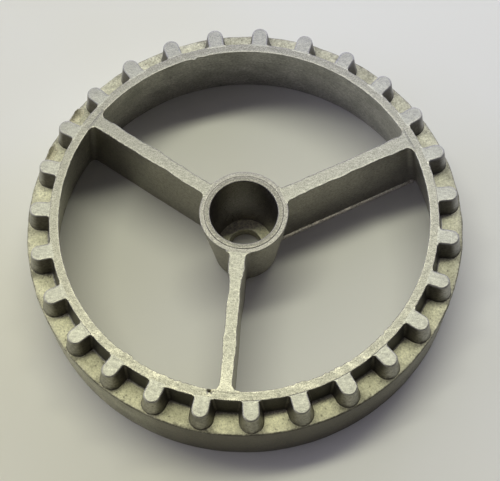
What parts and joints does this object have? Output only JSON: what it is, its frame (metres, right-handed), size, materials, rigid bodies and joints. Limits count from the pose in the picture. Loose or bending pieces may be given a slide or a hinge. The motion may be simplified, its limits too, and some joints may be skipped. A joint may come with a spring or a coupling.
{
  "type": "flywheel",
  "caption": "Round cast flywheel: an open spoked wheel with a shouldered central bore and a ring of radial teeth on its outer ledge.",
  "frame": {"origin": "centre of the bore in the plane of the underside", "axes": "+Z along the bore axis, out of the toothed face that lies uppermost; one spoke points along -Y"},
  "size_m": [0.142, 0.142, 0.031],
  "materials": {
    "cast_skin": "as-cast grainy skin, slightly yellowish",
    "filed_rim": "coarsely filed top, as-cast sides",
    "filed_hub": "coarsely filed top, as-cast sides",
    "filed_spoke": "coarsely filed top, as-cast sides",
    "tooth_cast": "as-cast with bright worn edges",
    "bore_cast": "as-cast, unmachined",
    "gate_break": "rough broken metal"
  },
  "bodies": {
    "root": {"rim_band": "cast_skin", "rim_wall": "filed_rim", "hub_barrel": "filed_hub", "bore_shoulder": "bore_cast", "spoke_1": "filed_spoke", "spoke_2": "filed_spoke", "spoke_3": "filed_spoke", "tooth_01": "tooth_cast", "tooth_02": "tooth_cast", "tooth_03": "tooth_cast", "tooth_04": "tooth_cast", "tooth_05": "tooth_cast", "tooth_06": "tooth_cast", "tooth_07": "tooth_cast", "tooth_08": "tooth_cast", "tooth_09": "tooth_cast", "tooth_10": "tooth_cast", "tooth_11": "tooth_cast", "tooth_12": "tooth_cast", "tooth_13": "tooth_cast", "tooth_14": "tooth_cast", "tooth_15": "tooth_cast", "tooth_16": "tooth_cast", "tooth_17": "tooth_cast", "tooth_18": "tooth_cast", "tooth_19": "tooth_cast", "tooth_20": "tooth_cast", "tooth_21": "tooth_cast", "tooth_22": "tooth_cast", "tooth_23": "tooth_cast", "tooth_24": "tooth_cast", "tooth_25": "tooth_cast", "tooth_26": "tooth_cast", "tooth_27": "tooth_cast", "gate_stub_1": "gate_break", "gate_stub_2": "gate_break"}
  },
  "joints": []
}
